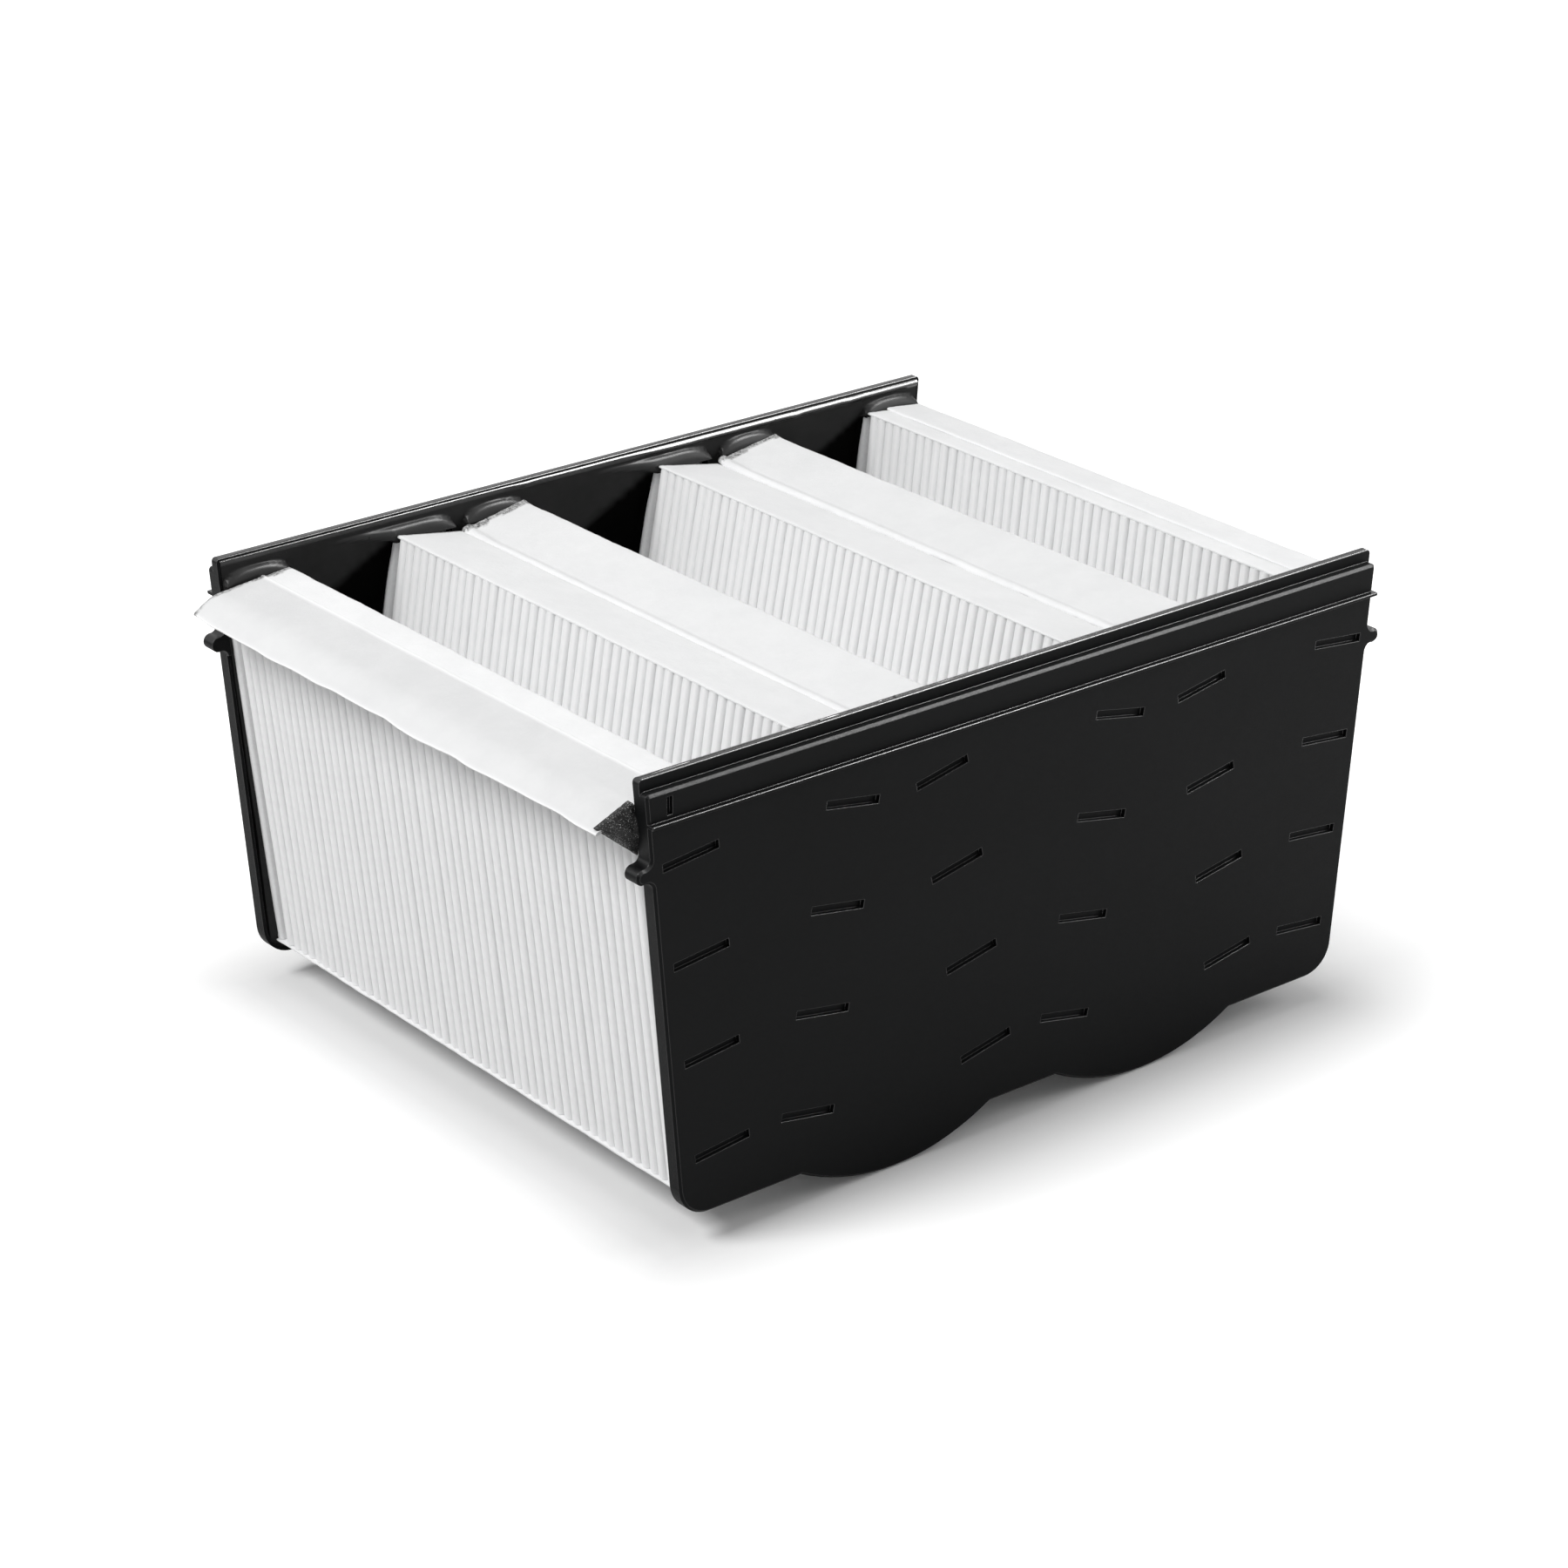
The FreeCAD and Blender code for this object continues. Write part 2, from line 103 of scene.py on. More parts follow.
# Polish of the plates' upward slopes, by height: the flange and the lip shine most
polish_levels = ((170 * mm, 0.5), (172 * mm, 1.0), (174.5 * mm, 1.0), (176 * mm, 0.25),
                 (185.5 * mm, 0.25), (187 * mm, 1.0))

# Sealing compound
bed_depth = 5.9 * mm
seat_depth = 4.3 * mm
strip_end_depth = 10.9 * mm
climb_low_z = 158.0 * mm        # between these heights the skin climbs out to the lip
climb_high_z = 186.0 * mm
lip_film_depth = 7.85 * mm
bead_end_depth = 7.4 * mm       # where the rear lip's bead runs into the lip
bead_end_z = 188.9 * mm
shadow_slope = 0.55
head_z = 178.05 * mm            # upper end of the packs
foot_z = 20.0 * mm
mound_height = 5.4 * mm
wedge_reach = 26.0 * mm
meniscus = 0.9 * mm
crown_shift = {1: -0.4 * mm, 2: 0.3 * mm, 3: 0.0, 4: 0.5 * mm, 5: 0.2 * mm, 6: 0.0}

# Stage: the floor lies just under the object, and its backdrop white grows with the distance
# from the object's footprint
floor_reach = 30.0
floor_drop = 0.05 * mm
floor_shown = 0.88              # its colour to the camera and in reflections
floor_bounce = 0.55             # its colour in the light that it throws back
dome_level = 0.30               # of the world, as a light
footprint_half = (168 * mm, 143 * mm)
floor_glow = ((0.0, 0.03), (30 * mm, 0.26), (60 * mm, 0.40), (110 * mm, 0.60), (1200 * mm, 0.9))

# Camera, fitted to the photo
camera_place = (-0.99448, -1.23603, 0.79569)
camera_azimuth = math.radians(-38.863)
camera_elevation = math.radians(23.909)
camera_roll = math.radians(0.069)
camera_lens = 99.462
camera_sensor = 36.0

rng = np.random.default_rng(41)


# Geometry of the frame

class Panel:
    """Place and lean of a pack, worked out from its box in the frame."""

    def __init__(self, number):
        low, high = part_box("pleat_pack_%d" % number)
        wide = high.x - low.x
        tall = high.z - low.z
        spread = pack_height ** 2 - pack_thickness ** 2
        sine = (pack_height * wide - pack_thickness * tall) / spread
        lean_right = number in (2, 4, 6)
        self.lean = math.asin(sine) * (1 if lean_right else -1)
        self.up = Vector((math.sin(self.lean), 0, math.cos(self.lean)))
        self.across = Vector((math.cos(self.lean), 0, -math.sin(self.lean)))
        self.foot = (low + high) / 2 - self.up * (pack_height / 2)
        self.y_low = low.y
        self.y_high = high.y

    def grid(self, across, up, y):
        """Points in the frame for arrays of across, up and y."""
        across, up, y = np.broadcast_arrays(across, up, y)
        x = self.foot.x + across * self.across.x + up * self.up.x
        z = self.foot.z + across * self.across.z + up * self.up.z
        return np.stack([x, y, z], axis=-1)

    def face_x(self, side, z):
        """X of the pack's left or right face at height z, held still beyond the pack's ends."""
        up = (z - self.foot.z - side * pack_thickness / 2 * self.across.z) / self.up.z
        up = np.clip(up, 0, pack_height)
        return self.foot.x + side * pack_thickness / 2 * self.across.x + up * self.up.x


panels = {number: Panel(number) for number in range(1, 7)}
plate_low, plate_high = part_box("front_end_plate")
middle_x = (plate_low.x + plate_high.x) / 2
front_face = plate_low.y + flange_reach
rear_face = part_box("rear_end_plate")[1].y - flange_reach


def side_x(z):
    """Half width of the end plate at height z."""
    return top_half_width - (plate_height - z) * math.tan(side_taper)


def bottom_z(x):
    """Height of the end plate's lower outline at the distance x from its middle."""
    x = np.abs(x)
    half_chord = (lobe_outer_x - lobe_inner_x) / 2
    lobe_radius = (half_chord ** 2 + lobe_depth ** 2) / (2 * lobe_depth)
    off = x - (lobe_outer_x + lobe_inner_x) / 2
    lobe = lobe_radius - np.sqrt(np.maximum(lobe_radius ** 2 - off ** 2, 0))
    z = np.minimum(lobe, lobe_depth)
    corner_x = side_x(lobe_depth + bottom_corner_radius) - bottom_corner_radius
    into = np.clip((x - corner_x) / bottom_corner_radius, 0, 1)
    return z + bottom_corner_radius * (1 - np.sqrt(1 - into ** 2 * 0.999))


# Smooth random values

def noise_line(count, cells, size):
    """Smooth random line with the given number of cells and about the given reach."""
    knots = rng.uniform(-1, 1, cells + 3)
    place = np.linspace(0, cells, count) + 1
    index = np.minimum(place.astype(int), cells + 1)
    part = place - index
    part = part * part * (3 - 2 * part)
    return size * (knots[index] * (1 - part) + knots[np.minimum(index + 1, cells + 2)] * part)


def noise_field(rows, columns, row_cells, column_cells, size):
    """Smooth random surface over a grid."""
    knots = rng.uniform(-1, 1, (row_cells + 2, column_cells + 2))
    row = np.linspace(0, row_cells, rows)
    column = np.linspace(0, column_cells, columns)
    r0 = np.minimum(row.astype(int), row_cells)
    c0 = np.minimum(column.astype(int), column_cells)
    r = (row - r0)[:, None]
    c = (column - c0)[None, :]
    r = r * r * (3 - 2 * r)
    c = c * c * (3 - 2 * c)
    top = knots[np.ix_(r0, c0)] * (1 - c) + knots[np.ix_(r0, c0 + 1)] * c
    low = knots[np.ix_(r0 + 1, c0)] * (1 - c) + knots[np.ix_(r0 + 1, c0 + 1)] * c
    return size * (top * (1 - r) + low * r)


# Meshes

def ribbon(name, upper, lower, material, smooth_angle=50, **marks):
    """Closed thin solid between two grids of points, both of rows by columns.

    Marks are named values over the grids, kept for the material: one says how far a point has drawn
    up compound, and on a pack's last leaves also stands for painted shade; one sets a painted highlight
    on fold crests and on the flap's raised root and free edge; one is 0 in the skin's painted shadow;
    gloss is the skin's.
    """
    rows, columns = upper.shape[:2]
    points = np.concatenate([upper.reshape(-1, 3), lower.reshape(-1, 3)])
    under = rows * columns

    def at(row, column):
        return row * columns + column

    faces = []
    for row in range(rows - 1):
        for column in range(columns - 1):
            a, b = at(row, column), at(row, column + 1)
            c, d = at(row + 1, column + 1), at(row + 1, column)
            faces.append((a, b, c, d))
            faces.append((under + d, under + c, under + b, under + a))
    for column in range(columns - 1):
        a, b = at(0, column), at(0, column + 1)
        faces.append((a, under + a, under + b, b))
        a, b = at(rows - 1, column), at(rows - 1, column + 1)
        faces.append((b, under + b, under + a, a))
    for row in range(rows - 1):
        a, b = at(row, 0), at(row + 1, 0)
        faces.append((b, under + b, under + a, a))
        a, b = at(row, columns - 1), at(row + 1, columns - 1)
        faces.append((a, under + a, under + b, b))
    mesh = bpy.data.meshes.new(name)
    mesh.from_pydata(points.tolist(), [], faces)
    mesh.validate()
    mesh.polygons.foreach_set("use_smooth", [True] * len(mesh.polygons))
    mesh.update()
    mesh.materials.append(material)
    if signed_volume(mesh) < 0:
        mesh.flip_normals()
    mesh.set_sharp_from_angle(angle=math.radians(smooth_angle))
    for mark, grid in marks.items():
        values = np.concatenate([grid.reshape(-1), grid.reshape(-1)]).astype(np.float32)
        mesh.attributes.new(mark, "FLOAT", "POINT").data.foreach_set("value", values)
    piece = bpy.data.objects.new(name, mesh)
    bpy.context.scene.collection.objects.link(piece)
    return piece


def signed_volume(mesh):
    """Volume of a closed mesh, minus if its faces look inwards."""
    mesh.calc_loop_triangles()
    points = np.array([vertex.co for vertex in mesh.vertices])
    corners = np.array([triangle.vertices for triangle in mesh.loop_triangles])
    a, b, c = points[corners[:, 0]], points[corners[:, 1]], points[corners[:, 2]]
    return float(np.einsum("ij,ij->i", a, np.cross(b, c)).sum() / 6)


def dress(piece, slot, *nodes):
    """Put a finished piece on the body in place of its nodes."""
    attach(piece, "root")
    if nodes:
        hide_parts(*nodes)


# Materials

class Nodes:
    """Short way to write a material's nodes."""

    def __init__(self, name):
        self.material = bpy.data.materials.new(name)
        self.material.use_nodes = True
        self.tree = self.material.node_tree
        self.shader = self.tree.nodes["Principled BSDF"]
        self.coordinates = self.tree.nodes.new("ShaderNodeTexCoord").outputs["Object"]

    def link(self, source, target):
        self.tree.links.new(source, target)

    def noise(self, scale, detail=2.0, roughness=0.5, stretch=None, distortion=0.0):
        node = self.tree.nodes.new("ShaderNodeTexNoise")
        node.inputs["Scale"].default_value = scale
        node.inputs["Detail"].default_value = detail
        node.inputs["Roughness"].default_value = roughness
        node.inputs["Distortion"].default_value = distortion
        source = self.coordinates
        if stretch:
            mapping = self.tree.nodes.new("ShaderNodeMapping")
            mapping.inputs["Scale"].default_value = stretch
            self.link(self.coordinates, mapping.inputs["Vector"])
            source = mapping.outputs["Vector"]
        self.link(source, node.inputs["Vector"])
        return node.outputs["Fac"]

    def ramp(self, source, stops):
        node = self.tree.nodes.new("ShaderNodeValToRGB")
        ramp = node.color_ramp
        while len(ramp.elements) < len(stops):
            ramp.elements.new(0.5)
        for element, (place, colour) in zip(ramp.elements, stops):
            element.position = place
            element.color = (*colour, 1.0)
        self.link(source, node.inputs["Fac"])
        return node.outputs["Color"]

    def span(self, source, low, high, out_low, out_high):
        node = self.tree.nodes.new("ShaderNodeMapRange")
        for name, value in zip(("From Min", "From Max", "To Min", "To Max"),
                               (low, high, out_low, out_high)):
            node.inputs[name].default_value = value
        self.link(source, node.inputs["Value"])
        return node.outputs["Result"]

    def bump(self, source, strength, distance, normal=None):
        node = self.tree.nodes.new("ShaderNodeBump")
        node.inputs["Strength"].default_value = strength
        node.inputs["Distance"].default_value = distance
        self.link(source, node.inputs["Height"])
        if normal:
            self.link(normal, node.inputs["Normal"])
        return node.outputs["Normal"]

    def mark(self, name):
        """A value that the mesh keeps at its points."""
        node = self.tree.nodes.new("ShaderNodeAttribute")
        node.attribute_name = name
        return node.outputs["Fac"]

    def math(self, operation, first, second):
        node = self.tree.nodes.new("ShaderNodeMath")
        node.operation = operation
        node.use_clamp = True
        for source, target in zip((first, second), node.inputs):
            if isinstance(source, float):
                target.default_value = source
            else:
                self.link(source, target)
        return node.outputs["Value"]

    def blend(self, factor, first, second):
        """Colour between two colours."""
        node = self.tree.nodes.new("ShaderNodeMix")
        node.data_type = "RGBA"
        self.link(factor, node.inputs[0])
        self.link(first, node.inputs[6])
        self.link(second, node.inputs[7])
        return node.outputs[2]

    def soaked(self, clean, scale, stops):
        """Colour that goes over to a grainy one where the mesh says it has drawn up compound, and on a
        pack's last leaves where it also gets painted shade.
        """
        return self.blend(self.mark("soak"), clean, self.ramp(self.noise(scale, 4.0, 0.75), stops))

    def edge(self, rounded):
        """1 on edges and on slopes that look up, 0 on the flats between them."""
        flat = self.tree.nodes.new("ShaderNodeNewGeometry").outputs["Normal"]
        turn = self.tree.nodes.new("ShaderNodeVectorMath")
        turn.operation = "DOT_PRODUCT"
        self.link(rounded, turn.inputs[0])
        self.link(flat, turn.inputs[1])
        split = self.tree.nodes.new("ShaderNodeSeparateXYZ")
        self.link(rounded, split.inputs[0])
        bent = self.span(turn.outputs["Value"], 0.995, 0.90, 0.0, 1.0)
        slope = self.span(split.outputs["Z"], 0.30, 0.55, 0.0, 1.0)
        height = self.tree.nodes.new("ShaderNodeSeparateXYZ")
        self.link(self.coordinates, height.inputs[0])
        share = self.span(height.outputs["Z"], 0.0, plate_height, 0.0, 1.0)
        stops = [(z / plate_height, grey(level)) for z, level in polish_levels]
        return self.math("MAXIMUM", bent, self.math("MULTIPLY", slope, self.ramp(share, stops)))

    def bevel(self, radius):
        node = self.tree.nodes.new("ShaderNodeBevel")
        node.samples = 6
        node.inputs["Radius"].default_value = radius
        return node.outputs["Normal"]


def grey(level):
    return (level, level, level)


def tint(level, shift):
    """Near grey with a slight cool or warm shift."""
    return (level - shift, level, level + shift)


def plastic_material():
    """Satin black moulding with a fine spark texture and faint flow marks."""
    nodes = Nodes("moulded_plastic")
    flow = nodes.noise(9.0, 3.0, 0.55, (1.0, 1.0, 2.2))
    nodes.link(nodes.ramp(flow, [(0.35, tint(0.0030, 0.0002)), (0.7, tint(0.0044, 0.0003))]),
               nodes.shader.inputs["Base Color"])
    grain = nodes.noise(1500.0, 2.0, 0.6)
    rounded = nodes.bevel(0.4 * mm)
    edge = nodes.edge(rounded)
    rough = nodes.span(grain, 0.3, 0.7, 0.40, 0.54)
    nodes.link(nodes.math("SUBTRACT", rough, nodes.math("MULTIPLY", edge, 0.24)),
               nodes.shader.inputs["Roughness"])
    nodes.link(nodes.span(edge, 0.0, 1.0, 0.07, 0.7), nodes.shader.inputs["Specular IOR Level"])
    soft = nodes.bump(nodes.noise(55.0, 2.0), 0.10, 0.0012, rounded)
    nodes.link(nodes.bump(grain, 0.16, 0.00012, soft), nodes.shader.inputs["Normal"])
    return nodes.material


def compound_material():
    """Black sealing compound: a faintly grey bed with a painted shadow of deep black beside packs 2, 4
    and 6, glossy along the lip.
    """
    nodes = Nodes("sealing_compound")
    haze = nodes.mark("haze")
    gloss = nodes.mark("gloss")
    cloud = nodes.noise(60.0, 3.0, 0.6)
    # Painted shadow: near black and with less shine where the packs shade the bed, faintly grey
    # elsewhere
    bed_outside_painted_shadow = nodes.ramp(cloud, [(0.3, grey(0.020)), (0.75, grey(0.028))])
    painted_shadow_black = nodes.ramp(cloud, [(0.3, grey(0.0006)), (0.75, grey(0.0012))])
    nodes.link(nodes.blend(haze, painted_shadow_black, bed_outside_painted_shadow), nodes.shader.inputs["Base Color"])
    rough = nodes.span(nodes.noise(70.0, 3.0, 0.6), 0.3, 0.75, 0.38, 0.48)
    nodes.link(nodes.math("SUBTRACT", rough, nodes.math("MULTIPLY", gloss, 0.28)),
               nodes.shader.inputs["Roughness"])
    shine = nodes.math("ADD", nodes.math("MULTIPLY", haze, 0.05), 0.01)
    nodes.link(nodes.math("ADD", shine, nodes.math("MULTIPLY", gloss, 0.42)),
               nodes.shader.inputs["Specular IOR Level"])
    swell = nodes.bump(nodes.noise(110.0, 2.0, 0.5), 0.12, 0.0006)
    nodes.link(nodes.bump(nodes.noise(900.0, 2.0, 0.6), 0.06, 0.0002, swell),
               nodes.shader.inputs["Normal"])
    return nodes.material


def soaked_felt_material():
    """Felt that is full of black compound, with white fibre ends that stick out."""
    nodes = Nodes("soaked_felt")
    specks = nodes.noise(1700.0, 4.0, 0.8)
    nodes.link(nodes.ramp(specks, [(0.50, grey(0.004)), (0.60, grey(0.03)), (0.65, grey(0.85))]),
               nodes.shader.inputs["Base Color"])
    nodes.shader.inputs["Roughness"].default_value = 0.45
    nodes.shader.inputs["Specular IOR Level"].default_value = 0.3
    nodes.link(nodes.bump(nodes.noise(1100.0, 4.0, 0.7), 0.7, 0.0005),
               nodes.shader.inputs["Normal"])
    return nodes.material


def media_material():
    """White non-woven paper with fine fibres, with a painted highlight along each fold's crest."""
    nodes = Nodes("filter_media")
    cloud = nodes.noise(130.0, 4.0, 0.6)
    plain = nodes.ramp(cloud, [(0.3, tint(0.905, 0.004)), (0.7, tint(0.935, 0.003))])
    # Painted highlight: crests are coloured paler for the light a fold's crest catches
    painted_crest_highlight = nodes.ramp(cloud, [(0.3, tint(0.945, 0.002)), (0.7, tint(0.96, 0.001))])
    clean = nodes.blend(nodes.mark("pale"), plain, painted_crest_highlight)
    nodes.link(nodes.soaked(clean, 700.0, [(0.35, grey(0.25)), (0.65, grey(0.6))]),
               nodes.shader.inputs["Base Color"])
    nodes.shader.inputs["Roughness"].default_value = 0.9
    nodes.shader.inputs["Specular IOR Level"].default_value = 0.15
    nodes.shader.inputs["Sheen Weight"].default_value = 0.08
    fibres = nodes.noise(1300.0, 4.0, 0.65, (1.0, 1.0, 0.35), 1.5)
    nodes.link(nodes.bump(fibres, 0.30, 0.00018), nodes.shader.inputs["Normal"])
    return nodes.material


def felt_material(name, level, fibre_strength):
    """White felt strip: matted fibres with slight clouding, and a painted highlight where the mesh
    marks one.
    """
    nodes = Nodes(name)
    cloud = nodes.noise(45.0, 5.0, 0.65)
    clean = nodes.ramp(cloud, [(0.3, tint(level - 0.05, 0.004)), (0.7, tint(level, 0.003))])
    # Painted highlight colour, used on the flap's raised root and its free edge
    painted_highlight_felt = nodes.ramp(cloud, [(0.3, tint(0.955, 0.002)), (0.7, tint(0.97, 0.002))])
    clean = nodes.blend(nodes.mark("pale"), clean, painted_highlight_felt)
    nodes.link(nodes.soaked(clean, 900.0, [(0.38, grey(0.10)), (0.62, grey(0.62))]),
               nodes.shader.inputs["Base Color"])
    nodes.shader.inputs["Roughness"].default_value = 0.92
    nodes.shader.inputs["Specular IOR Level"].default_value = 0.12
    nodes.shader.inputs["Sheen Weight"].default_value = 0.1
    lumps = nodes.bump(nodes.noise(260.0, 3.0, 0.6), 0.4, 0.0004)
    fibres = nodes.noise(1500.0, 4.0, 0.7, (1.0, 0.45, 1.0), 2.0)
    nodes.link(nodes.bump(fibres, fibre_strength, 0.0002, lumps), nodes.shader.inputs["Normal"])
    return nodes.material


def glue_material():
    """Hot-melt bead: waxy off-white with soft ripples."""
    nodes = Nodes("hot_melt")
    nodes.link(nodes.ramp(nodes.noise(90.0, 2.0), [(0.3, grey(0.72)), (0.7, grey(0.8))]),
               nodes.shader.inputs["Base Color"])
    nodes.link(nodes.span(nodes.noise(200.0), 0.3, 0.7, 0.35, 0.5),
               nodes.shader.inputs["Roughness"])
    nodes.shader.inputs["Subsurface Weight"].default_value = 0.1
    nodes.link(nodes.bump(nodes.noise(240.0, 2.0), 0.4, 0.0006), nodes.shader.inputs["Normal"])
    return nodes.material


plastic = plastic_material()
compound = compound_material()
media = media_material()
felt = felt_material("edge_felt", 0.93, 0.22)
flap_felt = felt_material("flap_felt", 0.80, 0.3)
coarse_felt = felt_material("coarse_felt", 0.87, 0.4)
soaked_felt = soaked_felt_material()
glue = glue_material()


def paint_nodes():
    """New materials on the solids that stay as they are."""
    for name, node in frame["nodes"].items():
        finish = plastic if "plate" in name else glue if "seam" in name else None
        if finish:
            for slot in node.material_slots:
                slot.material = finish


# Pleated packs

def pleat_line(count_tips, reach, step):
    """Middle line of the folded sheet from one end leaf to the other: along, depth, the fold's
    number and how near the point lies to its crest."""
    share = np.array([-1.0, -0.78, -0.55, -fold_crest, -0.1, 0.25, 0.62, 1.0])
    off = share + fold_crest
    front = np.clip(-off / (1 - fold_crest), 0, 1) ** 1.7
    back = np.clip(off / (1 + fold_crest), 0, 1) ** 1.5
    nose = 1 - front - back
    depth = [-reach * end_leaf_share]
    along = [-fold_half_width]
    tip = [0]
    crest = [0.0]
    for index in range(count_tips):
        side = 1 if index % 2 == 0 else -1
        depth += list(side * (reach - fold_depth + fold_depth * nose))
        along += list(index * step + fold_half_width * share)
        tip += [index] * len(share)
        crest += list(nose ** crest_sharpness)
        if index < count_tips - 1:
            depth.append(0.0)
            along.append((index + 0.5) * step)
            tip.append(index)
            crest.append(0.0)
    side = 1 if count_tips % 2 == 0 else -1
    depth.append(side * reach * end_leaf_share)
    along.append((count_tips - 1) * step + fold_half_width)
    tip.append(count_tips - 1)
    crest.append(0.0)
    return np.array(along), np.array(depth), np.array(tip), np.array(crest)


def pleat_pack(number):
    """One sheet folded to and fro between the end plates, with round, slightly wandering folds."""
    panel = panels[number]
    reach = (pack_thickness - sheet_thickness) / 2 - 0.02 * mm
    tips = 2 * pleat_count
    step = (panel.y_high - panel.y_low - 2 * fold_half_width - sheet_thickness) / (tips - 1)
    along, depth, tip, crest = pleat_line(tips, reach, step)
    levels = np.linspace(0, pack_height, pack_levels)
    count = len(along)
    tip_shift = np.clip(rng.normal(0, 0.09 * mm, tips), -0.18 * mm, 0.18 * mm)
    tip_pull = np.abs(rng.normal(0, 0.11 * mm, tips))
    upper = np.zeros((pack_levels, count, 3))
    lower = np.zeros((pack_levels, count, 3))
    sway = np.array([noise_line(pack_levels, 5, 0.10 * mm) for _ in range(tips)])
    sink = np.array([noise_line(pack_levels, 4, 0.14 * mm) for _ in range(tips)])
    common = noise_line(pack_levels, 3, 0.3 * mm)
    inner = np.clip(np.minimum(tip, tips - 1 - tip) / 3.0, 0, 1)
    along = along - np.where(tip < tips - 2, end_gap * np.exp((tip - tips + 3) / end_gap_fade), 0)
    half = sheet_thickness / 2
    for level, up in enumerate(levels):
        shift = (tip_shift[tip] + sway[tip, level] + common[level]) * inner
        pull = np.clip(tip_pull[tip] + sink[tip, level], 0, None)
        a = along + shift
        d = depth * (1 - pull / reach)
        tangent_a = np.gradient(a)
        tangent_d = np.gradient(d)
        length = np.hypot(tangent_a, tangent_d)
        normal_a = -tangent_d / length
        normal_d = tangent_a / length
        base = panel.y_low + fold_half_width + half
        upper[level] = panel.grid(d + normal_d * half, up, base + a + normal_a * half)
        lower[level] = panel.grid(d - normal_d * half, up, base + a - normal_a * half)
    # The last leaves at the rear end are greyed, partly for compound they have drawn up, partly as
    # painted shade beside the black plate
    hidden = (tip >= tips - 2) & ((depth > -0.8 * reach) | (tip == tips - 2))
    leaf_soak_and_shade = np.where(hidden, 0.75, np.where(tip == tips - 1, 0.15, 0.0))
    soak = np.broadcast_to(leaf_soak_and_shade[None, :], (pack_levels, count))
    # Painted highlight along each fold's crest
    pale = np.broadcast_to(crest[None, :], (pack_levels, count))
    piece = ribbon("pleated_media_%d" % number, upper, lower, media, 70, soak=soak, pale=pale)
    dress(piece, "media", "pleat_pack_%d" % number)
    length = float(np.hypot(np.diff(along), np.diff(depth)).sum())


# Strips

def strip_piece(name, panel, edges, base_up, thickness, y_ends, material, height=None,
                columns=30, rows=220, edge_wander=0.2 * mm, soak_reach=0.0):
    """Felt strip on a pack's end. Height gives its extra rise over a grid of across and y."""
    low, high = edges
    across_share = np.linspace(0, 1, columns)
    across_share = (1 - np.cos(across_share * math.pi)) / 2 * 0.5 + across_share * 0.5
    along_share = np.linspace(0, 1, rows)
    left = low + noise_line(rows, 26, edge_wander) + noise_line(rows, 110, 0.5 * edge_wander)
    right = high + noise_line(rows, 26, edge_wander) + noise_line(rows, 110, 0.5 * edge_wander)
    across = left[:, None] + (right - left)[:, None] * across_share[None, :]
    near = y_ends[0] + noise_line(columns, 22, edge_wander)
    far = y_ends[1] + noise_line(columns, 22, edge_wander)
    y = near[None, :] + (far - near)[None, :] * along_share[:, None]
    swell = noise_field(rows, columns, 22, 3, 0.10 * mm)
    edge = np.minimum(across - across.min(1, keepdims=True), across.max(1, keepdims=True) - across)
    rounding = strip_edge_radius * np.exp(-edge / strip_edge_radius)
    rise = height(across, y) if height else 0.0
    top = panel.grid(across, base_up + thickness + swell - rounding + rise, y)
    lift = np.maximum(rise - 0.3 * mm, 0.0) if height else 0.0
    under = panel.grid(across, base_up + 0.1 * mm + lift, y)
    marks = {}
    if soak_reach:
        wet = soak_reach * (1 + noise_field(rows, columns, 3, 12, 0.4))
        far_soak = np.clip((y - (y_ends[1] - wet)) / soak_fade, 0, 1)
        near_soak = np.clip((y_ends[0] + wet - y) / soak_fade, 0, 1)
        marks["soak"] = np.maximum(far_soak, near_soak)
    return ribbon(name, top, under, material, 60, **marks)


def strip_edges(number, end):
    """Across range of a strip on a pack's upper or lower end, from the solid it stands for."""
    panel = panels[number]
    node = frame["nodes"]["%s_strip_%d" % (end, number)]
    across = [(vertex.co - panel.foot).dot(panel.across) for vertex in node.data.vertices]
    return min(across), max(across)


def seam_ridge(left_edge, far_y):
    """Soft ridge along a strip's left margin, wider and higher towards its far end."""
    def height(across, y):
        to_far = np.clip((far_y - y) / (22 * mm), 0, 1)
        width = (3.6 + 1.6 * (1 - to_far)) * mm
        rise = (1.0 + 0.3 * (1 - to_far) ** 1.5) * mm
        place = np.clip((across - left_edge) / width, 0, 1.6)
        return rise * np.where(place < 1.6, np.sin(np.clip(place, 0, 1) * math.pi) ** 0.8, 0)
    return height


def end_turn_up(far_y, reach, rise):
    """A strip's far end bends up over this reach."""
    def height(across, y):
        share = np.clip((y - (far_y - reach)) / reach, 0, 1)
        return rise * share ** 2
    return height


def both(*heights):
    """Sum of some heights."""
    def height(across, y):
        return sum(one(across, y) for one in heights)
    return height


def top_strips():
    soak_reach = {1: 2.2 * mm, 2: 0.8 * mm, 3: 3.0 * mm, 4: 0.9 * mm, 5: 2.6 * mm, 6: 1.0 * mm}
    for number in range(1, 7):
        low, high = strip_edges(number, "top")
        node_low, node_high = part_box("top_strip_%d" % number)
        height = None
        if number in (3, 5):
            height = both(seam_ridge(low, node_high.y), end_turn_up(node_high.y, 7 * mm, 0.9 * mm))
        piece = strip_piece("upper_strip_%d" % number, panels[number], (low, high),
                            pack_height + glue_gap, strip_thickness, (node_low.y, node_high.y),
                            felt if number in (1, 2, 4, 6) else coarse_felt, height,
                            soak_reach=soak_reach[number])
        dress(piece, "strip", "top_strip_%d" % number)


